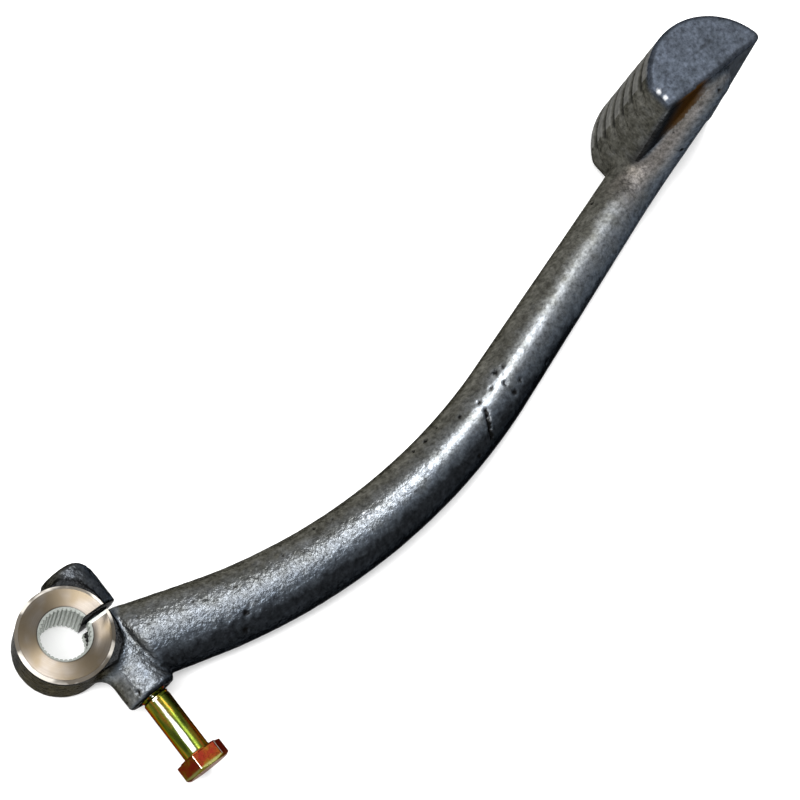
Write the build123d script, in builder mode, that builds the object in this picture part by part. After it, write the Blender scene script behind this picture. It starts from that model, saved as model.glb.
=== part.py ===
from build123d import *
import os
from math import atan2, cos, degrees, pi, radians, sin, tan

# Kick start lever with a split clamp hub, and its pinch bolt drawn part-way out.
# Frame: origin on the bore axis at the inboard face of the hub, +Z along the bore towards the
# outboard side, +X along the clamp slit towards the pedal, and the pinch bolt along Y.

# Hub with its splined bore and clamp slit
hub_diameter = 27.4
hub_length = 20.5
hub_back_round = 2.5
face_bevel = 1.0
face_step_width = 1.8
face_step_depth = 2.2
bore_diameter = 13.6
bore_chamfer = 0.4
spline_teeth = 36
spline_depth = 0.4
spline_gap_share = 0.5
spline_flank_angle = 60.0
slit_width = 1.6
slit_run_out = 3.0

# Pinch bolt with its hexagon head, and the boss and lug that it draws together
bolt_diameter = 8.0
bolt_length = 40.0
bolt_tip_chamfer = 1.0
bolt_offset = 11.2
bolt_withdrawn = 19.9
head_across_flats = 13.0
head_height = 5.3
head_turn = 55.0
head_face_margin = 0.3
head_bevel_angle = 30.0
bolt_hole_clearance = 0.5
thread_clearance = 0.15
thread_run_out = 1.0
boss_diameter = 15.0
boss_reach = 26.7
boss_root_round = 5.0
boss_edge_bevel = 0.8
lug_reach = 16.2
lug_corner_round = 7.0
lug_edge_bevel = 1.0

# Arm, an oval bar that bows in the plane of the hub and turns outboard under the pedal
arm_root = (8.2, -9.8)
arm_knee = (92.2, -33.95)
arm_bow_radius = 190.0
arm_root_width = 23.2
arm_root_thickness = 19.4
arm_shoulder_inset = 0.5
arm_shoulder_angle = 8.0
arm_root_round = 3.0
arm_neck_width = 16.2
arm_neck_thickness = 16.0
arm_foot = (-13.3, -0.1)
arm_bend_radius = 18.0
arm_lean = 18.2
arm_end_width = 15.6
arm_end_thickness = 14.0
arm_end_drop = 4.0
arm_end_round = 4.5

# Pedal, a half-round bar along the shaft's direction with grooves across its tread
pedal_reach = 244.5
pedal_angle = 3.55
pedal_length = 57.0
pedal_radius = 21.1
pedal_flat_offset = 2.0
pedal_hub_side = 18.0
pedal_draft = 3.0
pedal_corner_round = 1.5
pedal_face_round = 1.2
pedal_inner_round = 4.0
pedal_root_round = 2.0
groove_count = 6
groove_pitch = 8.2
groove_mouth = 3.8
groove_floor = 1.6
groove_depth = 1.1
first_groove = 7.5

# Sizes and places that follow from the ones above
mid_height = hub_length / 2
hub_radius = hub_diameter / 2
bore_radius = bore_diameter / 2
spline_gap = spline_gap_share * pi * bore_diameter / spline_teeth
chamfer_depth = spline_depth + bore_chamfer
bolt_radius = bolt_diameter / 2
boss_radius = boss_diameter / 2
head_underside = -boss_reach - bolt_withdrawn
bolt_home_tip = bolt_length - boss_reach
slit_length = bolt_offset + boss_radius + slit_run_out
pedal_plane = Plane(
    origin=(pedal_reach * cos(radians(pedal_angle)), pedal_reach * sin(radians(pedal_angle)), 0),
    x_dir=(cos(radians(pedal_angle)), sin(radians(pedal_angle)), 0),
    z_dir=(0, 0, 1),
)
tread_plane = Plane(origin=pedal_plane.origin, x_dir=pedal_plane.x_dir, z_dir=-pedal_plane.y_dir)
shoulder_plane = Plane(
    origin=(hub_radius - arm_shoulder_inset, 0, 0),
    z_dir=(cos(radians(arm_shoulder_angle)), sin(radians(arm_shoulder_angle)), 0),
)


def bolt_plane(along):
    """Plane square to the bolt at this place on Y, facing from the head towards the tip."""
    return Plane(origin=(bolt_offset, along, mid_height), x_dir=(1, 0, 0), z_dir=(0, 1, 0))


def section_plane(path, share):
    """Plane square to the arm's axis, with its x direction level."""
    heading = path % share
    return Plane(origin=path @ share, x_dir=(-heading.Y, heading.X, 0), z_dir=heading)


# Axis of the arm, from inside the hub to just under the pedal's outer face
root = Vector(arm_root[0], arm_root[1], mid_height)
knee = Vector(arm_knee[0], arm_knee[1], mid_height)
foot = pedal_plane.from_local_coords(Vector(arm_foot[0], arm_foot[1], mid_height))
rise = Vector(0, 0, pedal_length - arm_end_drop - mid_height)
end = foot + (foot - knee).normalized() * arm_lean + rise
with BuildLine() as arm_axis:
    FilletPolyline(root, knee, foot, end, radius=(arm_bow_radius, arm_bend_radius))
axis_wire = arm_axis.wires()[0]
bend_arc, rise_line = axis_wire.edges()[3:5]
bend_start = 1 - (bend_arc.length + rise_line.length) / axis_wire.length
bend_end = 1 - rise_line.length / axis_wire.length

# Arm: tapering bow with a rounded shoulder beside the hub, outboard bend and tapering end
with BuildPart() as arm:
    with BuildSketch(section_plane(axis_wire, 0)):
        Ellipse(arm_root_width / 2, arm_root_thickness / 2)
    neck_plane = section_plane(axis_wire, bend_start)
    with BuildSketch(neck_plane):
        Ellipse(arm_neck_width / 2, arm_neck_thickness / 2)
    sweep(path=Wire(axis_wire.edges()[:3]), multisection=True)
    split(bisect_by=shoulder_plane, keep=Keep.TOP)
    fillet(faces().sort_by(Axis.X)[0].edges(), radius=arm_root_round)
    with BuildSketch(neck_plane):
        Ellipse(arm_neck_width / 2, arm_neck_thickness / 2)
    revolve(
        axis=Axis(bend_arc.arc_center, neck_plane.x_dir),
        revolution_arc=-(axis_wire % bend_start).get_angle(axis_wire % bend_end),
    )
    with BuildSketch(section_plane(axis_wire, bend_end)):
        Ellipse(arm_neck_width / 2, arm_neck_thickness / 2)
    with BuildSketch(section_plane(axis_wire, 1)):
        Ellipse(arm_end_width / 2, arm_end_thickness / 2)
    loft()
    fillet(edges().sort_by(Axis.Z)[-1], radius=arm_end_round)

# Pedal: drafted half-round bar, flat towards the arm, grooved round its tread
with BuildPart() as pedal:
    with BuildSketch(pedal_plane.offset(pedal_length)):
        Circle(pedal_radius)
        with Locations((-pedal_hub_side, pedal_flat_offset)):
            Rectangle(
                pedal_hub_side + pedal_radius,
                pedal_radius - pedal_flat_offset,
                align=(Align.MIN, Align.MIN),
                mode=Mode.INTERSECT,
            )
        fillet(vertices(), radius=pedal_corner_round)
    extrude(amount=-pedal_length, taper=-pedal_draft)
    fillet(faces().sort_by(Axis.Z)[-1].edges(), radius=pedal_face_round)
    fillet(faces().sort_by(Axis.Z)[0].edges(), radius=pedal_inner_round)
    for number in range(groove_count):
        height = first_groove + number * groove_pitch
        tread_radius = pedal_radius + (pedal_length - height) * tan(radians(pedal_draft))
        with BuildSketch(tread_plane):
            with Locations((tread_radius, height)):
                Trapezoid(
                    2 * groove_mouth - groove_floor,
                    2 * groove_depth,
                    degrees(atan2(2 * groove_depth, groove_mouth - groove_floor)),
                    rotation=90,
                )
    revolve(axis=Axis(pedal_plane.origin, pedal_plane.z_dir), mode=Mode.SUBTRACT)

# Lever: the hub with its boss and lug, the arm and the pedal, cast in one piece
with BuildPart() as lever:
    with BuildSketch():
        Circle(hub_radius)
    extrude(amount=hub_length)
    fillet(edges().group_by(Axis.Z)[0], radius=hub_back_round)
    with BuildSketch(bolt_plane(-boss_reach)):
        Circle(boss_radius)
    extrude(amount=boss_reach + lug_reach)
    chamfer(edges().group_by(Axis.Y)[0], length=boss_edge_bevel)
    chamfer(edges().group_by(Axis.Y)[-1], length=lug_edge_bevel)
    seams = edges().filter_by(lambda edge: edge.geom_type not in (GeomType.CIRCLE, GeomType.LINE))
    fillet(seams, radius=boss_root_round)
    with BuildSketch():
        with Locations((bolt_offset + boss_radius - lug_corner_round, lug_reach - lug_corner_round)):
            Rectangle(2 * lug_corner_round, 2 * lug_corner_round, align=(Align.MIN, Align.MIN))
            Circle(lug_corner_round, mode=Mode.SUBTRACT)
    extrude(amount=hub_length, mode=Mode.SUBTRACT)
    add(arm.part)
    add(pedal.part)
    fillet(edges(Select.NEW), radius=pedal_root_round)
    # outboard face turned to a bevelled ring that stands clear of the casting
    with BuildSketch(Plane.XZ):
        with BuildLine():
            Polyline(
                (hub_radius - face_bevel, hub_length),
                (hub_radius, hub_length - face_bevel),
                (hub_radius, hub_length - face_step_depth),
                (hub_radius + face_step_width, hub_length - face_step_depth),
                (hub_radius + face_step_width, hub_length),
                close=True,
            )
        make_face()
    revolve(axis=Axis.Z, mode=Mode.SUBTRACT)
    # bore with internal splines, chamfered at both ends
    with BuildSketch():
        Circle(bore_radius)
        with PolarLocations(bore_radius, spline_teeth):
            Trapezoid(
                spline_gap + 2 * spline_depth / tan(radians(spline_flank_angle)),
                2 * spline_depth,
                spline_flank_angle,
                rotation=-90,
            )
    extrude(amount=hub_length, mode=Mode.SUBTRACT)
    with Locations(Plane.XY, Plane(origin=(0, 0, hub_length), z_dir=(0, 0, -1))):
        Cone(
            bore_radius + chamfer_depth,
            bore_radius,
            chamfer_depth,
            align=(Align.CENTER, Align.CENTER, Align.MIN),
            mode=Mode.SUBTRACT,
        )
    # slit, clearance hole in the boss and tapped hole in the lug
    with BuildSketch():
        Rectangle(slit_length, slit_width, align=(Align.MIN, Align.CENTER))
    extrude(amount=hub_length, mode=Mode.SUBTRACT)
    with BuildSketch(bolt_plane(-boss_reach)):
        Circle(bolt_radius + bolt_hole_clearance)
    extrude(amount=boss_reach, mode=Mode.SUBTRACT)
    with BuildSketch(bolt_plane(0)):
        Circle(bolt_radius + thread_clearance)
    extrude(amount=bolt_home_tip + thread_run_out, mode=Mode.SUBTRACT)

# Pinch bolt, drawn part-way out of the boss
with BuildPart() as clamp_bolt:
    with BuildSketch(bolt_plane(head_underside)):
        RegularPolygon(head_across_flats / 2, 6, major_radius=False, rotation=head_turn)
    extrude(amount=-head_height)
    head_face_radius = head_across_flats / 2 - head_face_margin
    with Locations(bolt_plane(head_underside - head_height)):
        Cone(
            head_face_radius,
            head_face_radius + head_height / tan(radians(head_bevel_angle)),
            head_height,
            align=(Align.CENTER, Align.CENTER, Align.MIN),
            mode=Mode.INTERSECT,
        )
    with BuildSketch(bolt_plane(head_underside)):
        Circle(bolt_radius)
    extrude(amount=bolt_length)
    chamfer(edges().sort_by(Axis.Y)[-1], length=bolt_tip_chamfer)

os.makedirs("parts", exist_ok=True)
lever.part.label = "lever"
export_step(lever.part, "parts/lever.step")
clamp_bolt.part.label = "clamp_bolt"
export_step(clamp_bolt.part, "parts/clamp_bolt.step")
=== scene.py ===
"""Kick start lever: a rough aluminium casting with a turned, split hub, and its zinc plated pinch bolt."""
import math
import random

import bmesh
import bpy
from bpy.props import FloatProperty, FloatVectorProperty, IntProperty, PointerProperty
from mathutils import Matrix, Vector, kdtree, noise


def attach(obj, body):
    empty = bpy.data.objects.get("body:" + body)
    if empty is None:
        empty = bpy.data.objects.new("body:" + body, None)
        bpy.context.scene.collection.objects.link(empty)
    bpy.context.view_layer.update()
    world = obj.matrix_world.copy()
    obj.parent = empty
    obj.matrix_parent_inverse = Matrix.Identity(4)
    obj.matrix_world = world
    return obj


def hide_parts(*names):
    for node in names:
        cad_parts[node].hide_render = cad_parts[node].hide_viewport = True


bl_info = {
    "name": "Kick Start Lever",
    "version": (1, 0, 0),
    "blender": (4, 5, 0),
    "location": "3D View > Sidebar > Kick Lever",
    "description": "Dresses a cast kick start lever and its pinch bolt",
    "category": "Object",
}

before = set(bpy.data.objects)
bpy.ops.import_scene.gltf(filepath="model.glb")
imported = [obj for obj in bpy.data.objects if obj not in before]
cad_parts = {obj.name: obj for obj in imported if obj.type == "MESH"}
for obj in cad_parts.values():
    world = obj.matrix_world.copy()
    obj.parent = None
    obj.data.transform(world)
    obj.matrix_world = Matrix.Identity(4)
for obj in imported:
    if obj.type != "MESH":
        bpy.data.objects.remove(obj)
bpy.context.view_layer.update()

MM = 0.001

# Hub, turned ring, bore and slit, in mm
HUB_LENGTH = 20.5
RING_RADIUS = 13.7
RING_BEVEL = 1.0
STEP_FLOOR = 18.2
STEP_RADIUS = 15.5
FACING_RADIUS = RING_RADIUS - 2.4
FACING_DEPTH = 0.06
BORE_RADIUS = 6.8
BORE_CHAMFER = 0.8
BORE_MOUTH = BORE_RADIUS + BORE_CHAMFER
SPLINE_TEETH = 36
SPLINE_DEPTH = 0.4
SPLINE_GAP = 0.59
SPLINE_FLANK = 0.23
SLIT_END = 21.7
SLIT_WIDTH = 1.8
SLIT_LIP = 0.9
SLIT_LIP_DEPTH = 0.3

# The bolt's holes, and the window where they open into the bore, in mm
BOLT_X = 11.2
BOLT_Z = HUB_LENGTH / 2
BOSS_END = -26.7
CLEARANCE_RADIUS = 4.55
WINDOW_X = 8.4
WINDOW_END = -8.0
TAPPED_RADIUS = 4.18
TAPPED_END = 14.3

# Points round a turned surface, a drilled hole, a plug that fills the blank, and the bolt
TURNED_STEPS = 128
HOLE_STEPS = 64
PLUG_STEPS = 96
BOLT_STEPS = 144

# The pedal's axis, radius at its outer face, length and slope, in mm
PEDAL_AXIS = (244.03, 15.14)
PEDAL_RADIUS = 21.1
PEDAL_LENGTH = 57.0
PEDAL_SLOPE = math.tan(math.radians(3))

# The pedal's tread, from its corner on X and to this depth, and its flat, between these on Y, in mm
TREAD_CORNER = 227.6
TREAD_DEPTH = 1.6
FLAT_SPAN = (14.6, 18)

# The bolt's places on Y and its radii, in mm, its head's turn and its bevel's slope
HEAD_FACE = -51.9
HEAD_UNDERSIDE = -46.6
BOLT_TIP = -6.6
HEAD_TURN = math.radians(55)
HEAD_FLAT = 6.5
HEAD_CORNER = 7.4
HEAD_FACE_RADIUS = 6.2
HEAD_BEVEL_SLOPE = math.tan(math.radians(30))
WASHER_RADIUS = 5.7
WASHER_HEIGHT = 0.35
SHANK_RADIUS = 4.0
TIP_RADIUS = 3.1
THREAD_DEPTH = 0.65

# Size of the mould's waves and of the mottling, in mm
WAVE_SIZE = 9.0
MOTTLE_SIZE = 1.8

# Where the casting's finish changes along the arm, in mm on X
MOTTLE_FADE = (65, 105)
BUMP_FADE = (60, 125)
SATIN_SPAN = (65, 100)
# the painted shade on the casting's -Y flank lightens between these
SHADE_FADE_SPAN = (125, 205)
DULL_SPAN = (150, 235)
OIL_SPAN = (7, -5)

# Heights between which the pedal's blasted face fades in, in mm
FACE_FADE = (53.5, 56.2)

# Direction that the casting's painted-shade flank faces, and the normal of the painted highlight along the
# top of the bolt's shank
SHADED_SIDE = Vector((0.3, -0.92, 0.25))
SHANK_HIGHLIGHT = (-0.274, 0, 0.962)

# Marks that show plainly on the casting: place in mm and radius in mm
PITS = (
    ((44.2, -24.6, 18.8), 0.9), ((41.7, -28.0, 16.2), 1.0), ((147.5, -10.9, 18.1), 0.8),
    ((147.5, -15.3, 18.8), 0.7), ((148.6, -19.0, 17.8), 0.9), ((152.1, -17.1, 18.1), 0.7),
    ((150.3, -10.7, 18.4), 0.6), ((143.0, -14.0, 18.8), 0.6), ((137.5, -15.3, 18.6), 0.6),
    ((130.0, -15.3, 18.0), 0.6), ((128.0, -27.0, 15.4), 1.0), ((60.0, -31.0, 14.5), 0.9),
)
CRACK = ((137.5, -18.4, 18.9), (136.6, -20.6, 18.6), (135.1, -23.6, 17.6), (134.6, -25.7, 16.3))
SCRATCH = ((241.6, 25.5, 57.0), (250.7, 25.7, 57.0))
# two painted glints on the edge of the pedal's outer face
PAINTED_GLINTS = ((226.4, 22.4, 57.0), (226.9, 19.8, 57.0))
GLINT_RADIUS = 0.9
PIT_SEED = 7

# Channels of the marks that are stored on the casting's points: pits and dirt together with painted shade,
# painted highlights, a painted shadow, and a painted warm highlight
DIRT_AND_SHADE, PAINTED_HIGHLIGHT, WEDGE_SHADOW, WARM_HIGHLIGHT = range(4)

# The axes and place from which the object was photographed, in metres
CAMERA_PLACE = Matrix((
    (0.76206, 0.54903, -0.34328, -0.1383),
    (-0.61710, 0.77637, -0.12823, -0.0973),
    (0.19611, 0.30955, 0.93044, 0.7154),
    (0, 0, 0, 1)))

# The camera's sensor and how far the floor lies below the lever, in mm, and half the floor's width, in metres
SENSOR_WIDTH = 36
FLOOR_DROP = 0.3
FLOOR_HALF_WIDTH = 3.0


def linear(colour):
    """An sRGB hex colour as linear RGBA."""
    parts = [int(colour[i:i + 2], 16) / 255 for i in (0, 2, 4)]
    return [c / 12.92 if c <= 0.04045 else ((c + 0.055) / 1.055) ** 2.4 for c in parts] + [1.0]


def colour_property(name, description, colour):
    return FloatVectorProperty(
        name=name, description=description, default=linear(colour), size=4, min=0, max=1, subtype="COLOR")


def length_property(name, description, millimetres):
    return FloatProperty(
        name=name, description=description, default=millimetres * MM, min=0, unit="LENGTH", precision=5)


def power_property(name, description, watts):
    return FloatProperty(name=name, description=description, default=watts, min=0, unit="POWER")


class CastingSettings(bpy.types.PropertyGroup):
    """Sizes and colours of the cast lever"""
    grid: length_property("Grid", "Spacing of the casting's surface points", 0.6)
    swell: length_property("Swell", "Height of the broad waves left by the mould", 0.04)
    mottle: length_property("Mottle", "Height of the sand-cast mottling", 0.06)
    pit_count: IntProperty(name="Pits", description="Number of small gas pits", default=70, min=0)
    pit_depth: length_property("Pit Depth", "Depth of a gas pit", 0.35)
    # the dusty, bare and oxidised skins are painted light and shade by the way the surface faces: a painted
    # warm reflection on the flank facing +Y, and painted half shade and shade on the flank facing -Y
    olive: colour_property("Dusty Skin", "Olive film on the flank that faced up in the mould", "6b6a64")
    skin: colour_property("Cast Skin", "Grey of the cast skin", "787c81")
    half_shade: colour_property("Bare Skin", "Cooler grey beside the dark flank", "5a616a")
    dark: colour_property("Oxidised Skin", "Dark oxide on the flank that faced down", "2a2d31")
    oil: colour_property("Old Oil", "Brown film on the hub's side", "66604a")
    face: colour_property("Blasted Face", "Blue grey of the pedal's outer face", "494f59")
    # painted warm highlight on the arm's end, on its side away from the shaded flank
    ground: colour_property("Ground Skin", "Warm grey of the arm's end, where flash was ground off", "968d86")
    # also the black of the painted shade on the lug, the pedal's sides and the step round the ring
    pit: colour_property("Pit", "Black of the pits and the crack", "101010")
    # painted shadow, brown with the reflection in it, between the pedal and the arm
    wedge_shadow: colour_property("Stain", "Brown stain between the pedal and the arm", "3a2709")
    turned: colour_property("Turned Metal", "Cut aluminium of the hub's ring", "4f4a45")
    turned_pale: colour_property("Turned Metal, Pale", "Brighter streaks of the turned ring", "59544e")
    tarnished: colour_property("Tarnished Metal", "Brown film on the turned ring", "4d4539")
    # painted highlight on the ring's bevel
    bevel_highlight: colour_property("Burnished Metal", "Bright places on the ring's bevel", "e6e0d6")
    cut: colour_property("Cut Metal", "Clean broached aluminium", "c6cac5")
    cut_dark: colour_property("Cut Metal, Dark", "Scores in the cut metal", "a9ada8")
    drilled: colour_property("Drilled Metal", "Aluminium of the bolt's holes, dark with oil", "3a3a38")
    # also the painted shadow round the bore's mouth
    drilled_dark_and_shadow: colour_property("Drilled Metal, Dark", "Scores in the drilled metal", "232322")


class BoltSettings(bpy.types.PropertyGroup):
    """Sizes and colours of the pinch bolt"""
    thread_pitch: length_property("Thread Pitch", "Distance from one thread to the next", 1.25)
    thread_length: length_property("Thread Length", "Length of the threaded end", 22.0)
    gold: colour_property("Chromate Gold", "Gold streaks of the passivated zinc", "65531b")
    olive: colour_property("Chromate Olive", "Green of the passivated zinc", "434d18")
    deep_olive: colour_property("Chromate Deep Olive", "Darkest green of the passivated zinc", "2f3810")
    red: colour_property("Chromate Red", "Red flecks of the passivated zinc", "8a3d18")
    head: colour_property("Head Orange", "Thicker, orange film on the head", "48200a")
    head_red: colour_property("Head Red", "Reddest film on the head", "48140c")
    head_gold: colour_property("Head Gold", "Thinner, gold film on the head", "42320c")
    # painted highlight along the top of the shank and on the corners of the head
    pale: colour_property("Pale Zinc", "Bare zinc on the rubbed corners and top of the shank", "f0efe2")
    rim: colour_property("Head Rim", "Olive gold of the head's bevel and face", "565630")


class StageSettings(bpy.types.PropertyGroup):
    """Floor, lamps and camera"""
    floor: colour_property("Floor", "Pale floor", "dadada")
    key_power: power_property("Key Lamp", "Power of the soft box above the pedal's end", 17)
    strip_power: power_property("Strip Lamp", "Power of the long soft box above the bolt", 18)
    lens: FloatProperty(
        name="Lens", description="Focal length in millimetres", default=117, min=1, unit="CAMERA")


def add_node(tree, kind, inputs=None, stops=(), **settings):
    """Adds a node, sets its properties and colour stops, and sets or links its inputs."""
    node = tree.nodes.new(kind)
    for name, value in settings.items():
        setattr(node, name, value)
    for i, (place, colour) in enumerate(stops):
        if i == len(node.color_ramp.elements):
            node.color_ramp.elements.new(place)
        node.color_ramp.elements[i].position = place
        node.color_ramp.elements[i].color = colour
    for key, value in (inputs or {}).items():
        if isinstance(value, bpy.types.NodeSocket):
            tree.links.new(value, node.inputs[key])
        else:
            node.inputs[key].default_value = value
    return node


def new_material(name):
    """An empty node material, and its tree."""
    material = bpy.data.materials.new(name)
    material.use_nodes = True
    material.node_tree.nodes.clear()
    return material, material.node_tree


def cast_aluminium(settings):
    """Aluminium, sand cast and tumbled: a dark satin skin with a long bright streak, speckled by the hub."""
    material, tree = new_material("sand_cast_aluminium")
    place = add_node(tree, "ShaderNodeTexCoord").outputs["Object"]
    normal = add_node(tree, "ShaderNodeNewGeometry").outputs["Normal"]
    across = add_node(tree, "ShaderNodeSeparateXYZ", {"Vector": place})
    marks = add_node(tree, "ShaderNodeAttribute", attribute_name="marks")
    mark = add_node(tree, "ShaderNodeSeparateColor", {"Color": marks.outputs["Color"]})
    # clumps of sand about 1.4 mm across with finer grains in them, and bumps about 1.3 mm across
    grain = add_node(tree, "ShaderNodeTexNoise", {
        "Vector": place, "Scale": 1 / (1.4 * MM), "Detail": 5, "Roughness": 0.7})
    sand = add_node(tree, "ShaderNodeTexNoise", {
        "Vector": place, "Scale": 1 / (1.3 * MM), "Detail": 2, "Roughness": 0.6})
    # patches of oxide film about 5 mm across
    film = add_node(tree, "ShaderNodeTexNoise", {
        "Vector": place, "Scale": 1 / (5.0 * MM), "Detail": 5, "Roughness": 0.65})
    # tumbling lines about 0.9 mm wide and 14 mm long that run along the arm
    stretch = add_node(tree, "ShaderNodeMapping", {
        "Vector": place, "Scale": (1 / (14.0 * MM), 1 / (0.9 * MM), 1 / (0.9 * MM))})
    line = add_node(tree, "ShaderNodeTexNoise", {
        "Vector": stretch.outputs["Vector"], "Scale": 1.0, "Detail": 3})
    # painted light and shade by the way the surface faces: a warm olive painted reflection on the flank
    # facing +Y, cooler grey and then painted shade, nearly black, on the flank facing -Y, with a ragged edge
    # between them; the painted shade is lighter towards the pedal
    side = add_node(tree, "ShaderNodeVectorMath", {0: normal, 1: SHADED_SIDE}, operation="DOT_PRODUCT")
    reach = add_node(tree, "ShaderNodeMapRange", {
        "Value": across.outputs["X"], "From Min": SHADE_FADE_SPAN[0] * MM, "From Max": SHADE_FADE_SPAN[1] * MM,
        "To Min": 1.0, "To Max": 0.78})
    share = add_node(tree, "ShaderNodeMapRange", {
        "Value": side.outputs["Value"], "From Min": -1.0, "To Max": reach.outputs["Result"]})
    ragged = add_node(tree, "ShaderNodeMath", {
        0: film.outputs["Fac"], 1: 0.3, 2: share.outputs["Result"]}, operation="MULTIPLY_ADD")
    tone = add_node(tree, "ShaderNodeValToRGB", {"Fac": ragged.outputs["Value"]}, [
        (0.45, settings.olive), (0.74, settings.skin), (0.9, settings.half_shade), (1.0, settings.dark)])
    # old oil on the hub's side, away from the arm
    oily = add_node(tree, "ShaderNodeMapRange", {
        "Value": across.outputs["X"], "From Min": OIL_SPAN[0] * MM, "From Max": OIL_SPAN[1] * MM,
        "To Max": 0.85})
    hub = add_node(tree, "ShaderNodeMix", {
        "Factor": oily.outputs["Result"], "A": tone.outputs["Color"], "B": settings.oil}, data_type="RGBA")
    shade = add_node(tree, "ShaderNodeValToRGB", {"Fac": film.outputs["Fac"]}, [
        (0.3, linear("c4c4c0")), (0.7, linear("ffffff"))])
    fleck = add_node(tree, "ShaderNodeValToRGB", {"Fac": grain.outputs["Fac"]}, [
        (0.34, linear("a2a2a2")), (0.66, linear("ffffff"))])
    # the pedal's outer face was blasted, which fades over about 3 mm down its sides
    face = add_node(tree, "ShaderNodeMapRange", {
        "Value": across.outputs["Z"], "From Min": FACE_FADE[0] * MM, "From Max": FACE_FADE[1] * MM})
    faced = add_node(tree, "ShaderNodeMix", {
        "Factor": face.outputs["Result"], "A": hub.outputs["Result"], "B": settings.face}, data_type="RGBA")
    # a painted warm highlight on the arm's end
    ground = add_node(tree, "ShaderNodeMix", {
        "Factor": marks.outputs["Alpha"], "A": faced.outputs["Result"], "B": settings.ground},
        data_type="RGBA")
    clouded = add_node(tree, "ShaderNodeMix", {
        "Factor": 1.0, "A": ground.outputs["Result"], "B": shade.outputs["Color"]},
        data_type="RGBA", blend_type="MULTIPLY")
    flecked = add_node(tree, "ShaderNodeMix", {
        "Factor": 1.0, "A": clouded.outputs["Result"], "B": fleck.outputs["Color"]},
        data_type="RGBA", blend_type="MULTIPLY")
    # the marks that are stored on the casting's points lie over all of it: black pits and dirt together with
    # painted shade, the brown painted shadow between the pedal and the arm, and pale painted highlights
    pitted_and_shaded = add_node(tree, "ShaderNodeMix", {
        "Factor": mark.outputs["Red"], "A": flecked.outputs["Result"], "B": settings.pit}, data_type="RGBA")
    shadowed = add_node(tree, "ShaderNodeMix", {
        "Factor": mark.outputs["Blue"], "A": pitted_and_shaded.outputs["Result"], "B": settings.wedge_shadow}, data_type="RGBA")
    colour = add_node(tree, "ShaderNodeMix", {
        "Factor": mark.outputs["Green"], "A": shadowed.outputs["Result"], "B": linear("f4f4f4")},
        data_type="RGBA")
    # the arm was rubbed smoothest in the middle of its bow, and is duller and duller towards the pedal
    coarse = add_node(tree, "ShaderNodeMapRange", {
        "Value": across.outputs["X"], "From Min": BUMP_FADE[0] * MM, "From Max": BUMP_FADE[1] * MM,
        "To Min": 0.8, "To Max": 0.14})
    satin = add_node(tree, "ShaderNodeMapRange", {
        "Value": across.outputs["X"], "From Min": SATIN_SPAN[0] * MM, "From Max": SATIN_SPAN[1] * MM,
        "To Min": 0.38, "To Max": 0.34})
    dull = add_node(tree, "ShaderNodeMapRange", {
        "Value": across.outputs["X"], "From Min": DULL_SPAN[0] * MM, "From Max": DULL_SPAN[1] * MM,
        "To Min": satin.outputs["Result"], "To Max": 0.55})
    sandy = add_node(tree, "ShaderNodeMath", {
        0: marks.outputs["Alpha"], 1: 0.8, 2: coarse.outputs["Result"]}, operation="MULTIPLY_ADD")
    bumps = add_node(tree, "ShaderNodeBump", {
        "Height": sand.outputs["Fac"], "Strength": sandy.outputs["Value"], "Distance": 0.55 * MM})
    lines = add_node(tree, "ShaderNodeBump", {
        "Height": line.outputs["Fac"], "Strength": 0.2, "Distance": 0.08 * MM,
        "Normal": bumps.outputs["Normal"]})
    shader = add_node(tree, "ShaderNodeBsdfPrincipled", {
        "Base Color": colour.outputs["Result"], "Metallic": 1.0, "Roughness": dull.outputs["Result"],
        "Specular Tint": linear("8a8a8a"), "Normal": lines.outputs["Normal"]})
    add_node(tree, "ShaderNodeOutputMaterial", {"Surface": shader.outputs["BSDF"]})
    return material


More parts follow.
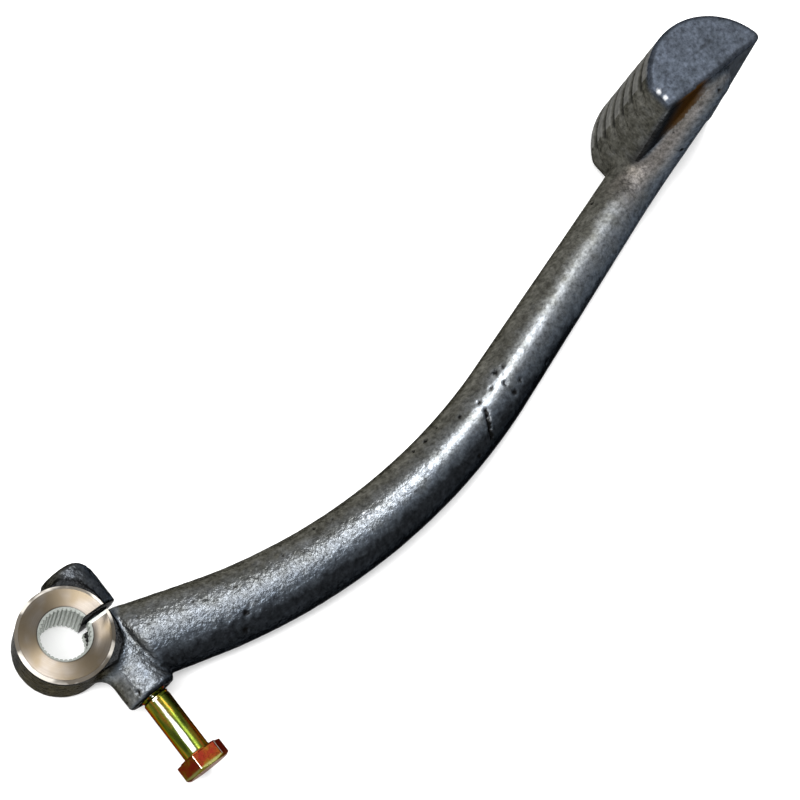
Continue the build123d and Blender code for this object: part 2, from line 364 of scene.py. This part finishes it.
def turned_aluminium(settings):
    """Aluminium, turned on a lathe: fine rings round the bore that draw the light out into fans."""
    material, tree = new_material("turned_aluminium")
    place = add_node(tree, "ShaderNodeTexCoord").outputs["Object"]
    outward = add_node(tree, "ShaderNodeVectorMath", {0: place, 1: (1, 1, 0)}, operation="MULTIPLY")
    radius = add_node(tree, "ShaderNodeVectorMath", {0: outward.outputs["Vector"]}, operation="LENGTH")
    # feed of about 0.2 mm a turn, drawn at 0.5 mm so that it shows
    line = add_node(tree, "ShaderNodeTexNoise", {
        "W": radius.outputs["Value"], "Scale": 1 / (0.5 * MM), "Detail": 2}, noise_dimensions="1D")
    groove = add_node(tree, "ShaderNodeBump", {
        "Height": line.outputs["Fac"], "Strength": 0.1, "Distance": 0.03 * MM})
    tint = add_node(tree, "ShaderNodeValToRGB", {"Fac": line.outputs["Fac"]}, [
        (0.3, settings.turned), (0.7, settings.turned_pale)])
    # patches about 8 mm across where the face is tarnished, and where the bevel gets a painted highlight
    patch = add_node(tree, "ShaderNodeTexNoise", {"Vector": place, "Scale": 1 / (8.0 * MM)})
    film = add_node(tree, "ShaderNodeMapRange", {
        "Value": patch.outputs["Fac"], "From Min": 0.6, "From Max": 0.4})
    filmed = add_node(tree, "ShaderNodeMix", {
        "Factor": film.outputs["Result"], "A": tint.outputs["Color"], "B": settings.tarnished},
        data_type="RGBA")
    bright = add_node(tree, "ShaderNodeMapRange", {
        "Value": patch.outputs["Fac"], "From Min": 0.45, "From Max": 0.55, "To Min": 0.1, "To Max": 0.9})
    bevel = add_node(tree, "ShaderNodeMapRange", {
        "Value": radius.outputs["Value"], "From Min": (RING_RADIUS - RING_BEVEL) * MM,
        "From Max": (RING_RADIUS - RING_BEVEL + 0.15) * MM, "To Max": bright.outputs["Result"]})
    bevel_highlight = add_node(tree, "ShaderNodeMix", {
        "Factor": bevel.outputs["Result"], "A": filmed.outputs["Result"], "B": settings.bevel_highlight},
        data_type="RGBA")
    # a painted shadow about 0.5 mm wide round the bore's edge
    mouth_shadow = add_node(tree, "ShaderNodeMapRange", {
        "Value": radius.outputs["Value"], "From Min": (BORE_MOUTH + 0.5) * MM, "From Max": BORE_MOUTH * MM,
        "To Max": 0.95})
    colour = add_node(tree, "ShaderNodeMix", {
        "Factor": mouth_shadow.outputs["Result"], "A": bevel_highlight.outputs["Result"], "B": settings.drilled_dark_and_shadow},
        data_type="RGBA")
    shader = add_node(tree, "ShaderNodeBsdfPrincipled", {
        "Base Color": colour.outputs["Result"], "Metallic": 1.0, "Roughness": 0.33, "Anisotropic": 0.82,
        "Tangent": outward.outputs["Vector"], "Normal": groove.outputs["Normal"]})
    add_node(tree, "ShaderNodeOutputMaterial", {"Surface": shader.outputs["BSDF"]})
    return material


def cut_aluminium(name, pale, dark):
    """Aluminium, broached, drilled or sawn: fine scores along the cut, pale where clean, dark where oily."""
    material, tree = new_material(name)
    place = add_node(tree, "ShaderNodeTexCoord").outputs["Object"]
    # scores about 0.3 mm apart and 6 mm long
    stretch = add_node(tree, "ShaderNodeMapping", {
        "Vector": place, "Scale": (1 / (0.3 * MM), 1 / (0.3 * MM), 1 / (6.0 * MM))})
    score = add_node(tree, "ShaderNodeTexNoise", {
        "Vector": stretch.outputs["Vector"], "Scale": 1.0, "Detail": 3})
    groove = add_node(tree, "ShaderNodeBump", {
        "Height": score.outputs["Fac"], "Strength": 0.2, "Distance": 0.04 * MM})
    tint = add_node(tree, "ShaderNodeValToRGB", {"Fac": score.outputs["Fac"]}, [(0.3, dark), (0.7, pale)])
    shader = add_node(tree, "ShaderNodeBsdfPrincipled", {
        "Base Color": tint.outputs["Color"], "Metallic": 1.0, "Roughness": 0.55,
        "Normal": groove.outputs["Normal"]})
    add_node(tree, "ShaderNodeOutputMaterial", {"Surface": shader.outputs["BSDF"]})
    return material


def yellow_zinc(settings):
    """Steel, zinc plated and yellow passivated: a clear film of olive, gold and red, thicker on the head."""
    material, tree = new_material("yellow_passivated_zinc")
    place = add_node(tree, "ShaderNodeTexCoord").outputs["Object"]
    # streaks about 1.2 mm wide and 12 mm long, as the film ran along the bolt
    stretch = add_node(tree, "ShaderNodeMapping", {
        "Vector": place, "Scale": (1 / (1.2 * MM), 1 / (12.0 * MM), 1 / (1.2 * MM))})
    streak = add_node(tree, "ShaderNodeTexNoise", {
        "Vector": stretch.outputs["Vector"], "Scale": 1.0, "Detail": 3})
    shank = add_node(tree, "ShaderNodeValToRGB", {"Fac": streak.outputs["Fac"]}, [
        (0.36, settings.deep_olive), (0.46, settings.olive), (0.56, settings.gold), (0.66, settings.red)])
    # patches about 2.5 mm across on the head
    patch = add_node(tree, "ShaderNodeTexNoise", {
        "Vector": place, "Scale": 1 / (2.5 * MM), "Detail": 4, "Roughness": 0.6})
    head = add_node(tree, "ShaderNodeValToRGB", {"Fac": patch.outputs["Fac"]}, [
        (0.34, settings.head_gold), (0.46, settings.head), (0.6, settings.head_red)])
    across = add_node(tree, "ShaderNodeSeparateXYZ", {"Vector": place})
    on_head = add_node(tree, "ShaderNodeMapRange", {
        "Value": across.outputs["Y"], "From Min": (HEAD_UNDERSIDE + 0.3) * MM,
        "From Max": (HEAD_UNDERSIDE - 0.1) * MM})
    both = add_node(tree, "ShaderNodeMix", {
        "Factor": on_head.outputs["Result"], "A": shank.outputs["Color"], "B": head.outputs["Color"]},
        data_type="RGBA")
    # the head's bevel and face stay olive
    on_face = add_node(tree, "ShaderNodeMapRange", {
        "Value": across.outputs["Y"], "From Min": (HEAD_FACE + 1.2) * MM, "From Max": (HEAD_FACE + 0.7) * MM})
    rimmed = add_node(tree, "ShaderNodeMix", {
        "Factor": on_face.outputs["Result"], "A": both.outputs["Result"], "B": settings.rim},
        data_type="RGBA")
    # a painted highlight: pale zinc colour in a ragged band along the top of the shank, and on the corners of
    # the head
    normal = add_node(tree, "ShaderNodeNewGeometry").outputs["Normal"]
    above = add_node(tree, "ShaderNodeVectorMath", {0: normal, 1: SHANK_HIGHLIGHT}, operation="DOT_PRODUCT")
    streaked = add_node(tree, "ShaderNodeMapRange", {
        "Value": streak.outputs["Fac"], "From Min": 0.3, "From Max": 0.7, "To Min": 0.965, "To Max": 0.99})
    highlight_band_end = add_node(tree, "ShaderNodeMath", {0: streaked.outputs["Result"], 1: 0.012}, operation="ADD")
    highlight_band = add_node(tree, "ShaderNodeMapRange", {
        "Value": above.outputs["Value"], "From Min": streaked.outputs["Result"],
        "From Max": highlight_band_end.outputs["Value"]})
    on_shank = add_node(tree, "ShaderNodeMapRange", {
        "Value": across.outputs["Y"], "From Min": (HEAD_UNDERSIDE + 0.2) * MM,
        "From Max": (HEAD_UNDERSIDE + 1.2) * MM})
    top = add_node(tree, "ShaderNodeMath", {
        0: highlight_band.outputs["Result"], 1: on_shank.outputs["Result"]}, operation="MULTIPLY")
    middle = add_node(tree, "ShaderNodeVectorMath", {
        0: place, 1: (-BOLT_X * MM, 0, -BOLT_Z * MM)}, operation="ADD")
    spoke = add_node(tree, "ShaderNodeVectorMath", {
        0: middle.outputs["Vector"], 1: (1, 0, 1)}, operation="MULTIPLY")
    radius = add_node(tree, "ShaderNodeVectorMath", {0: spoke.outputs["Vector"]}, operation="LENGTH")
    corner = add_node(tree, "ShaderNodeMapRange", {
        "Value": radius.outputs["Value"], "From Min": (HEAD_CORNER - 0.03) * MM, "From Max": HEAD_CORNER * MM,
        "To Max": 0.6})
    shank_and_corner_highlight = add_node(tree, "ShaderNodeMath", {
        0: top.outputs["Value"], 1: corner.outputs["Result"]}, operation="MAXIMUM")
    colour = add_node(tree, "ShaderNodeMix", {
        "Factor": shank_and_corner_highlight.outputs["Value"], "A": rimmed.outputs["Result"], "B": settings.pale}, data_type="RGBA")
    # duller and glossier flecks about 0.8 mm across
    fleck = add_node(tree, "ShaderNodeTexNoise", {"Vector": place, "Scale": 1 / (0.8 * MM), "Detail": 4})
    dull = add_node(tree, "ShaderNodeMapRange", {
        "Value": fleck.outputs["Fac"], "From Min": 0.3, "From Max": 0.7, "To Min": 0.2, "To Max": 0.34})
    shader = add_node(tree, "ShaderNodeBsdfPrincipled", {
        "Base Color": colour.outputs["Result"], "Metallic": 1.0, "Roughness": dull.outputs["Result"],
        "Specular Tint": linear("94603a")})
    add_node(tree, "ShaderNodeOutputMaterial", {"Surface": shader.outputs["BSDF"]})
    return material


def circle(radius, height, steps):
    """Points round Z at this radius and height, in mm."""
    turn = 2 * math.pi / steps
    return [Vector((radius * math.cos(i * turn), radius * math.sin(i * turn), height)) for i in range(steps)]


def to_mesh(shape, mesh):
    """Writes the shape to the mesh and frees it."""
    shape.to_mesh(mesh)
    shape.free()
    return mesh


def skinned(name, rings, place=Matrix.Identity(4), closed=False):
    """A closed mesh through rings of points in mm, capped or closed on itself, and put in place."""
    shape = bmesh.new()
    rows = [[shape.verts.new(place @ point * MM) for point in ring] for ring in rings]
    count = len(rows[0])
    for first, second in zip(rows, rows[1:] + rows[:1] if closed else rows[1:]):
        for i in range(count):
            shape.faces.new((first[i], first[(i + 1) % count], second[(i + 1) % count], second[i]))
    if not closed:
        shape.faces.new(rows[0])
        shape.faces.new(rows[-1])
    bmesh.ops.recalc_face_normals(shape, faces=shape.faces)
    return to_mesh(shape, bpy.data.meshes.new(name))


def rod(name, radius, start, end, steps, place=Matrix.Identity(4)):
    """A plain round bar along Z from start to end, in mm, put in place."""
    return skinned(name, [circle(radius, start, steps), circle(radius, end, steps)], place)


def shade_smooth(mesh):
    for polygon in mesh.polygons:
        polygon.use_smooth = True


def new_object(name, data):
    """An object with this data, linked to the scene."""
    piece = bpy.data.objects.new(name, data)
    bpy.context.scene.collection.objects.link(piece)
    return piece


def along_bolt(x=BOLT_X):
    """Turns Z into the bolt's direction, +Y, at this place on X."""
    return Matrix(((1, 0, 0, x), (0, 0, 1, 0), (0, -1, 0, BOLT_Z), (0, 0, 0, 1)))


def spline_ring(height):
    """Outline of the bore with its spline gaps, in mm."""
    foot = SPLINE_GAP / 2 / BORE_RADIUS
    crown = (SPLINE_GAP / 2 - SPLINE_FLANK) / BORE_RADIUS
    points = []
    for tooth in range(SPLINE_TEETH):
        middle = 2 * math.pi * tooth / SPLINE_TEETH
        for turn, depth in ((-foot, 0), (-crown, SPLINE_DEPTH), (crown, SPLINE_DEPTH), (foot, 0)):
            out = BORE_RADIUS + depth
            points.append(Vector((out * math.cos(middle + turn), out * math.sin(middle + turn), height)))
    return points


def cutting_tools():
    """Meshes of what the lathe, broach, drill and saw take out of the casting, and the finish of each."""
    below, through, above = -2, HUB_LENGTH + 2, HUB_LENGTH + 4
    beside, outside = RING_RADIUS + 0.05, RING_RADIUS + 1
    step = skinned("step", [
        circle(beside, above, TURNED_STEPS),
        circle(beside, STEP_FLOOR, TURNED_STEPS),
        circle(STEP_RADIUS, STEP_FLOOR, TURNED_STEPS),
        circle(STEP_RADIUS, above, TURNED_STEPS)], closed=True)
    turning = skinned("turning", [
        circle(RING_RADIUS - RING_BEVEL, HUB_LENGTH, TURNED_STEPS),
        circle(outside, HUB_LENGTH - RING_BEVEL - 1, TURNED_STEPS),
        circle(outside, above, TURNED_STEPS)])
    facing = rod("facing", FACING_RADIUS, below, FACING_DEPTH, TURNED_STEPS)
    bore = skinned("bore", [spline_ring(below), spline_ring(through)])
    # cones of 45 degrees, from 3 mm inside each end of the bore to 1 mm past it
    outer_chamfer = skinned("outer_chamfer", [
        circle(BORE_MOUTH - 3, HUB_LENGTH - 3, TURNED_STEPS),
        circle(BORE_MOUTH + 1, HUB_LENGTH + 1, TURNED_STEPS)])
    inner_chamfer = skinned("inner_chamfer", [
        circle(BORE_MOUTH - 3, 3, TURNED_STEPS),
        circle(BORE_MOUTH + 1, -1, TURNED_STEPS)])
    clearance = rod("clearance", CLEARANCE_RADIUS, BOSS_END - 3, 0, HOLE_STEPS, along_bolt())
    window = rod("window", CLEARANCE_RADIUS, WINDOW_END, 0, HOLE_STEPS, along_bolt(WINDOW_X))
    tapped = rod("tapped", TAPPED_RADIUS, -0.5, TAPPED_END, HOLE_STEPS, along_bolt())
    half = SLIT_WIDTH / 2
    corners = [(0, -half), (SLIT_END, -half), (SLIT_END, half), (0, half)]
    slit = skinned("slit", [[Vector((x, y, z)) for x, y in corners] for z in (below, through)])
    # the lip slopes down to the slit on one side, and starts a little inside it
    slope, inside = SLIT_LIP_DEPTH / SLIT_LIP, 0.2
    lip = [
        (-half + inside, HUB_LENGTH + 1),
        (-half - SLIT_LIP - 1, HUB_LENGTH + slope),
        (-half + inside, HUB_LENGTH - SLIT_LIP_DEPTH - inside * slope)]
    edge = skinned("slit_edge", [[Vector((x, y, z)) for y, z in lip] for x in (BORE_RADIUS - 1, outside)])
    return (
        (step, "cast"), (turning, "turned"), (facing, "turned"),
        (bore, "broached"), (outer_chamfer, "broached"), (inner_chamfer, "broached"),
        (clearance, "drilled"), (window, "drilled"), (tapped, "drilled"),
        (slit, "drilled"), (edge, "broached"))


def evaluated_mesh(piece):
    """The piece's mesh with its modifiers applied."""
    graph = bpy.context.evaluated_depsgraph_get()
    return bpy.data.meshes.new_from_object(piece.evaluated_get(graph))


def cast_blank(settings):
    """The lever as cast: its bore filled, stock left on the ring, and its surface on one even grid."""
    shape = bmesh.new()
    shape.from_mesh(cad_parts["lever"].data)
    bmesh.ops.remove_doubles(shape, verts=shape.verts, dist=0.002 * MM)
    shape.from_mesh(rod("bore_fill", BORE_RADIUS + 1.6, 0.02, HUB_LENGTH, PLUG_STEPS))
    shape.from_mesh(rod("ring_stock", RING_RADIUS + 0.2, STEP_FLOOR + 1, HUB_LENGTH + 0.6, PLUG_STEPS))
    piece = new_object("lever_casting", to_mesh(shape, bpy.data.meshes.new("lever_blank")))
    remesh = piece.modifiers.new("grid", "REMESH")
    remesh.mode = "VOXEL"
    remesh.voxel_size = settings.grid
    smooth = piece.modifiers.new("smooth", "SMOOTH")
    smooth.factor = 0.5
    smooth.iterations = 3
    even = evaluated_mesh(piece)
    piece.modifiers.clear()
    piece.data = even
    return piece


def ease(value, low, high):
    """Runs smoothly from 0 at low to 1 at high."""
    share = min(1.0, max(0.0, (value - low) / (high - low)))
    return share * share * (3 - 2 * share)


def points_along(corners, spacing):
    """Places in mm at about this spacing along a line of corners."""
    places = []
    for first, second in zip(corners, corners[1:]):
        first, second = Vector(first), Vector(second)
        count = math.ceil((second - first).length / spacing)
        places += [first.lerp(second, i / count) for i in range(count + 1)]
    return places


def point_tree(points):
    """A tree that finds the points near a place."""
    tree = kdtree.KDTree(len(points))
    for i, point in enumerate(points):
        tree.insert(point, i)
    tree.balance()
    return tree


def roughen(mesh, settings):
    """Moves the casting's points: waves, mottling that fades along the arm, and pits, which it returns."""
    points = [vertex.co.copy() for vertex in mesh.vertices]
    normals = [vertex.normal.copy() for vertex in mesh.vertices]
    depth = []
    for point in points:
        spot = point / MM
        wave = noise.noise(spot / WAVE_SIZE)
        mottle = noise.fractal(spot / MOTTLE_SIZE, 1.0, 2.0, 2)
        coarse = 1.0 - 0.8 * ease(spot.x, *MOTTLE_FADE)
        depth.append(settings.swell * wave + settings.mottle * coarse * mottle)
    chance = random.Random(PIT_SEED)
    pits = [
        (points[chance.randrange(len(points))] / MM, chance.uniform(0.35, 0.75))
        for _ in range(settings.pit_count)]
    pits += [(Vector(spot), radius) for spot, radius in PITS]
    pits += [(spot, chance.uniform(0.35, 0.7)) for spot in points_along(CRACK, 0.5)]
    tree = point_tree(points)
    for centre, radius in pits:
        reach = 1.2 * radius * MM
        for _, i, away in tree.find_range(centre * MM, reach):
            depth[i] -= settings.pit_depth * (1.0 - (away / reach) ** 2)
    for vertex, normal, offset in zip(mesh.vertices, normals, depth):
        vertex.co += normal * offset
    return pits


def mark_spots(mesh, pits, marks):
    """Darkens the pits, with ragged edges, the scratch and the crack, and paints two glints on the edge of
    the pedal's outer face.
    """
    tree = point_tree([vertex.co.copy() for vertex in mesh.vertices])
    for centre, radius in pits:
        for spot, i, away in tree.find_range(centre * MM, 1.6 * radius * MM):
            ragged = radius * MM * (1.0 + 0.6 * noise.noise(spot / MM * 1.7))
            marks[i][DIRT_AND_SHADE] = max(marks[i][DIRT_AND_SHADE], min(1.0, 3.0 - 2.5 * away / ragged))
    for line, reach, dirt in ((SCRATCH, 0.5, 0.35), (CRACK, 0.7, 1.0)):
        for spot in points_along(line, 0.3):
            for _, i, _ in tree.find_range(spot * MM, reach * MM):
                marks[i][DIRT_AND_SHADE] = max(marks[i][DIRT_AND_SHADE], dirt)
    for spot in PAINTED_GLINTS:
        for _, i, away in tree.find_range(Vector(spot) * MM, GLINT_RADIUS * MM):
            marks[i][PAINTED_HIGHLIGHT] = 0.35 * (1.0 - (away / (GLINT_RADIUS * MM)) ** 2)


def mark_zones(vertex, mark):
    """Marks a point for the zone of the casting that it lies in, with its place in mm."""
    x, y, z = vertex.co / MM
    # the tread darker in its grooves, and a faint painted highlight on its lands
    out = math.hypot(x - PEDAL_AXIS[0], y - PEDAL_AXIS[1])
    spread = (PEDAL_LENGTH - z) * PEDAL_SLOPE
    sunk = PEDAL_RADIUS + spread - out
    on_tread = y > PEDAL_AXIS[1] + 4 and TREAD_CORNER - spread < x and z < PEDAL_LENGTH - 1.5
    if on_tread and sunk < TREAD_DEPTH:
        mark[DIRT_AND_SHADE] = max(mark[DIRT_AND_SHADE], 0.75 * ease(sunk, 0.2, 1.0))
        mark[PAINTED_HIGHLIGHT] = 0.08 * ease(sunk, 0.4, 0.1)
    # painted shadow on the pedal's flat beside the arm: brown, with the warm reflection in that shade, and
    # black at its lower end
    if vertex.normal.y < -0.6 and FLAT_SPAN[0] < y < FLAT_SPAN[1] and z > 12:
        mark[WEDGE_SHADOW] = 0.9 * ease(x, 227, 234) * ease(x, 244, 238) * ease(z, 30, 40)
        mark[DIRT_AND_SHADE] = max(mark[DIRT_AND_SHADE], 0.8 * ease(x, 235, 229) * ease(z, 12, 18))
    # painted shade in the step round the ring
    beside_ring = RING_RADIUS - 0.1 < math.hypot(x, y) < STEP_RADIUS + 0.8
    if beside_ring and STEP_FLOOR - 0.6 < z < HUB_LENGTH - 0.8:
        mark[DIRT_AND_SHADE] = max(mark[DIRT_AND_SHADE], 0.95)
    # painted shade on the lug and on the pedal's sides, and a painted warm highlight on the arm's end, on its
    # side away from the shaded flank
    lug = 0.6 * ease(y, 0.5, 3.0) * ease(x, 26, 22)
    sides = 0.16 * ease(y, 14, 18) * ease(x, 218, 223) * ease(z, 57, 54)
    mark[DIRT_AND_SHADE] = max(mark[DIRT_AND_SHADE], lug, sides)
    lit = ease(vertex.normal.dot(SHADED_SIDE), 0.85, 0.4)
    mark[WARM_HIGHLIGHT] = 0.55 * lit * ease(x, 208, 224) * ease(y, 17, 14) * ease(z, 10, 20)


def note_marks(mesh, pits):
    """Stores how dark each surface point is with pits, dirt and painted shade, its painted highlights, its
    painted shadow, and its painted warm highlight.
    """
    marks = [[0.0, 0.0, 0.0, 0.0] for _ in mesh.vertices]
    mark_spots(mesh, pits, marks)
    for vertex, mark in zip(mesh.vertices, marks):
        mark_zones(vertex, mark)
    noted = mesh.attributes.new("marks", "FLOAT_COLOR", "POINT")
    noted.data.foreach_set("color", [value for mark in marks for value in mark])


def machine(piece, finishes):
    """Cuts the turned ring, splined bore, bolt holes and slit, whose faces take the finish of their tool."""
    for mesh, finish in cutting_tools():
        mesh.materials.append(finishes[finish])
        shade_smooth(mesh)
        tool = new_object(mesh.name, mesh)
        cut = piece.modifiers.new(mesh.name, "BOOLEAN")
        cut.operation = "DIFFERENCE"
        cut.solver = "EXACT"
        cut.material_mode = "TRANSFER"
        cut.object = tool
        cut_mesh = evaluated_mesh(piece)
        if len(cut_mesh.polygons) in (0, len(piece.data.polygons)):
            raise RuntimeError(f"the {mesh.name} cut failed")
        piece.modifiers.clear()
        piece.data = cut_mesh
        bpy.data.objects.remove(tool)
    shape = bmesh.new()
    shape.from_mesh(piece.data)
    bmesh.ops.dissolve_degenerate(shape, dist=0.001 * MM, edges=shape.edges)
    to_mesh(shape, piece.data)


class KICKLEVER_OT_casting(bpy.types.Operator):
    """Casts the lever and machines its hub"""
    bl_idname = "kicklever.casting"
    bl_label = "Lever Casting"

    def execute(self, context):
        settings = context.scene.kick_lever_casting
        piece = cast_blank(settings)
        pits = roughen(piece.data, settings)
        shade_smooth(piece.data)
        piece.data.materials.clear()
        piece.data.materials.append(cast_aluminium(settings))
        machine(piece, {
            "cast": piece.data.materials[0],
            "turned": turned_aluminium(settings),
            "broached": cut_aluminium("broached_aluminium", settings.cut, settings.cut_dark),
            "drilled": cut_aluminium("drilled_aluminium", settings.drilled, settings.drilled_dark_and_shadow)})
        note_marks(piece.data, pits)
        piece.data.set_sharp_from_angle(angle=math.radians(42))
        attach(piece, "lever")
        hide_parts("lever")
        return {"FINISHED"}


def hexagon(flat, corner, height, slope=0.0):
    """Points round a hexagon whose corners are a little rubbed off; a slope makes it the head's bevel."""
    points = []
    for i in range(BOLT_STEPS):
        turn = 2 * math.pi * i / BOLT_STEPS
        off = (turn + HEAD_TURN) % (math.pi / 3) - math.pi / 6
        radius = min(flat / math.cos(off), corner)
        lift = (radius - HEAD_FACE_RADIUS) * slope
        points.append(Vector((radius * math.cos(turn), radius * math.sin(turn), height + lift)))
    return points


def head_rings():
    """Rings of the bolt's head, washer face and the start of its shank, in mm along the bolt."""
    edge, seat = 0.15, HEAD_UNDERSIDE - WASHER_HEIGHT
    return [
        circle(HEAD_FACE_RADIUS - 0.5, HEAD_FACE, BOLT_STEPS),
        circle(HEAD_FACE_RADIUS, HEAD_FACE, BOLT_STEPS),
        hexagon(HEAD_FLAT, HEAD_CORNER, HEAD_FACE, HEAD_BEVEL_SLOPE),
        hexagon(HEAD_FLAT, HEAD_CORNER, seat - edge),
        hexagon(HEAD_FLAT - edge, HEAD_CORNER - edge, seat),
        circle(WASHER_RADIUS, seat, BOLT_STEPS),
        circle(WASHER_RADIUS, HEAD_UNDERSIDE, BOLT_STEPS),
        circle(SHANK_RADIUS + 0.4, HEAD_UNDERSIDE, BOLT_STEPS),
        circle(SHANK_RADIUS + 0.1, HEAD_UNDERSIDE + 0.15, BOLT_STEPS),
        circle(SHANK_RADIUS, HEAD_UNDERSIDE + 0.5, BOLT_STEPS)]


def thread_rings(pitch, length):
    """Rings of the bolt's rolled thread, which runs in over a turn and a half, in mm along the bolt."""
    start = BOLT_TIP - length
    rows = round((BOLT_TIP - start) / pitch * 10)
    rings = []
    for row in range(rows + 1):
        height = start + (BOLT_TIP - start) * row / rows
        run_in = min(1.0, (height - start) / (1.5 * pitch))
        tip = min(SHANK_RADIUS, TIP_RADIUS + BOLT_TIP - height)
        ring = []
        for i in range(BOLT_STEPS):
            turn = 2 * math.pi * i / BOLT_STEPS
            phase = (height / pitch - i / BOLT_STEPS) % 1.0
            groove = min(1.0, max(0.0, 1.25 - abs(phase - 0.5) * 2.9))
            radius = min(tip, SHANK_RADIUS - THREAD_DEPTH * groove * run_in)
            ring.append(Vector((radius * math.cos(turn), radius * math.sin(turn), height)))
        rings.append(ring)
    return rings


class KICKLEVER_OT_bolt(bpy.types.Operator):
    """Makes the pinch bolt with its hexagon head and rolled thread"""
    bl_idname = "kicklever.bolt"
    bl_label = "Pinch Bolt"

    def execute(self, context):
        settings = context.scene.kick_lever_bolt
        rings = head_rings() + thread_rings(settings.thread_pitch / MM, settings.thread_length / MM)
        mesh = skinned("pinch_bolt", rings, along_bolt())
        shade_smooth(mesh)
        mesh.set_sharp_from_angle(angle=math.radians(28))
        mesh.materials.append(yellow_zinc(settings))
        piece = new_object("pinch_bolt", mesh)
        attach(piece, "bolt")
        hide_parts("clamp_bolt")
        return {"FINISHED"}


def seen_rays(tree):
    """The share of rays that show the background: from the camera, or sent on by gloss or glass."""
    path = add_node(tree, "ShaderNodeLightPath")
    seen = add_node(tree, "ShaderNodeMath", {
        0: path.outputs["Is Camera Ray"], 1: path.outputs["Is Glossy Ray"]}, operation="MAXIMUM")
    shown = add_node(tree, "ShaderNodeMath", {
        0: seen.outputs["Value"], 1: path.outputs["Is Transmission Ray"]}, operation="MAXIMUM")
    return shown.outputs["Value"]


def pale_floor(settings):
    """Painted studio floor, matt: white to the camera, and it keeps the object's shadow."""
    material, tree = new_material("matt_painted_floor")
    paint = add_node(tree, "ShaderNodeBsdfDiffuse", {"Color": settings.floor})
    lift = add_node(tree, "ShaderNodeEmission", {"Color": settings.floor, "Strength": 0.5})
    dark = add_node(tree, "ShaderNodeEmission", {"Strength": 0.0})
    glow = add_node(tree, "ShaderNodeMixShader", {
        0: seen_rays(tree), 1: dark.outputs["Emission"], 2: lift.outputs["Emission"]})
    both = add_node(tree, "ShaderNodeAddShader", {0: paint.outputs["BSDF"], 1: glow.outputs["Shader"]})
    add_node(tree, "ShaderNodeOutputMaterial", {"Surface": both.outputs["Shader"]})
    return material


def white_world():
    """Soft light all round, white where it is seen."""
    world = bpy.data.worlds.new("studio")
    bpy.context.scene.world = world
    world.use_nodes = True
    tree = world.node_tree
    tree.nodes.clear()
    soft = add_node(tree, "ShaderNodeBackground", {"Color": linear("ffffff"), "Strength": 0.65})
    white = add_node(tree, "ShaderNodeBackground", {"Color": linear("ffffff"), "Strength": 1.0})
    mix = add_node(tree, "ShaderNodeMixShader", {
        0: seen_rays(tree), 1: soft.outputs["Background"], 2: white.outputs["Background"]})
    add_node(tree, "ShaderNodeOutputWorld", {"Surface": mix.outputs["Shader"]})


def soft_lamp(name, place, target, size, power):
    """A soft box of this width and length at this place, in metres, that faces the target."""
    lamp = bpy.data.lights.new(name, "AREA")
    lamp.shape = "RECTANGLE"
    lamp.size, lamp.size_y = size
    lamp.energy = power
    box = new_object(name, lamp)
    box.location = place
    box.rotation_euler = (Vector(target) - Vector(place)).to_track_quat("-Z", "Y").to_euler()


class KICKLEVER_OT_stage(bpy.types.Operator):
    """Sets the floor, the lamps and the camera"""
    bl_idname = "kicklever.stage"
    bl_label = "Stage"

    def execute(self, context):
        settings = context.scene.kick_lever_stage
        shape = bmesh.new()
        bmesh.ops.create_grid(shape, x_segments=1, y_segments=1, size=FLOOR_HALF_WIDTH)
        floor = new_object("floor", to_mesh(shape, bpy.data.meshes.new("floor")))
        floor.location.z = -FLOOR_DROP * MM
        floor.data.materials.append(pale_floor(settings))
        white_world()
        soft_lamp(
            "key_lamp", place=(0.66, 0.365, 1.36), target=(0.12, 0, 0.01), size=(0.3, 0.3),
            power=settings.key_power)
        soft_lamp(
            "strip_lamp", place=(-0.4, 0.07, 1.14), target=(0.011, -0.03, 0.01), size=(0.25, 1.2),
            power=settings.strip_power)
        camera = bpy.data.cameras.new("camera")
        camera.lens = settings.lens
        camera.sensor_width = SENSOR_WIDTH
        view = new_object("camera", camera)
        view.matrix_world = CAMERA_PLACE
        context.scene.camera = view
        context.scene.view_settings.view_transform = "Standard"
        return {"FINISHED"}


class KICKLEVER_PT_panel(bpy.types.Panel):
    """Lists the lever's pieces"""
    bl_idname = "KICKLEVER_PT_panel"
    bl_label = "Kick Start Lever"
    bl_space_type = "VIEW_3D"
    bl_region_type = "UI"
    bl_category = "Kick Lever"

    def draw(self, context):
        for operator, group, _ in STEPS:
            self.layout.operator(operator.bl_idname)
            settings = getattr(context.scene, group)
            for name in settings.__annotations__:
                self.layout.prop(settings, name)


# Each operator, with the name and class of its settings
STEPS = (
    (KICKLEVER_OT_casting, "kick_lever_casting", CastingSettings),
    (KICKLEVER_OT_bolt, "kick_lever_bolt", BoltSettings),
    (KICKLEVER_OT_stage, "kick_lever_stage", StageSettings),
)


def register():
    for operator, group, settings in STEPS:
        bpy.utils.register_class(settings)
        setattr(bpy.types.Scene, group, PointerProperty(type=settings))
        bpy.utils.register_class(operator)
    bpy.utils.register_class(KICKLEVER_PT_panel)


def unregister():
    bpy.utils.unregister_class(KICKLEVER_PT_panel)
    for operator, group, settings in reversed(STEPS):
        bpy.utils.unregister_class(operator)
        delattr(bpy.types.Scene, group)
        bpy.utils.unregister_class(settings)


def main():
    register()
    bpy.ops.kicklever.casting()
    bpy.ops.kicklever.bolt()
    bpy.ops.kicklever.stage()


if __name__ == "__main__":
    main()
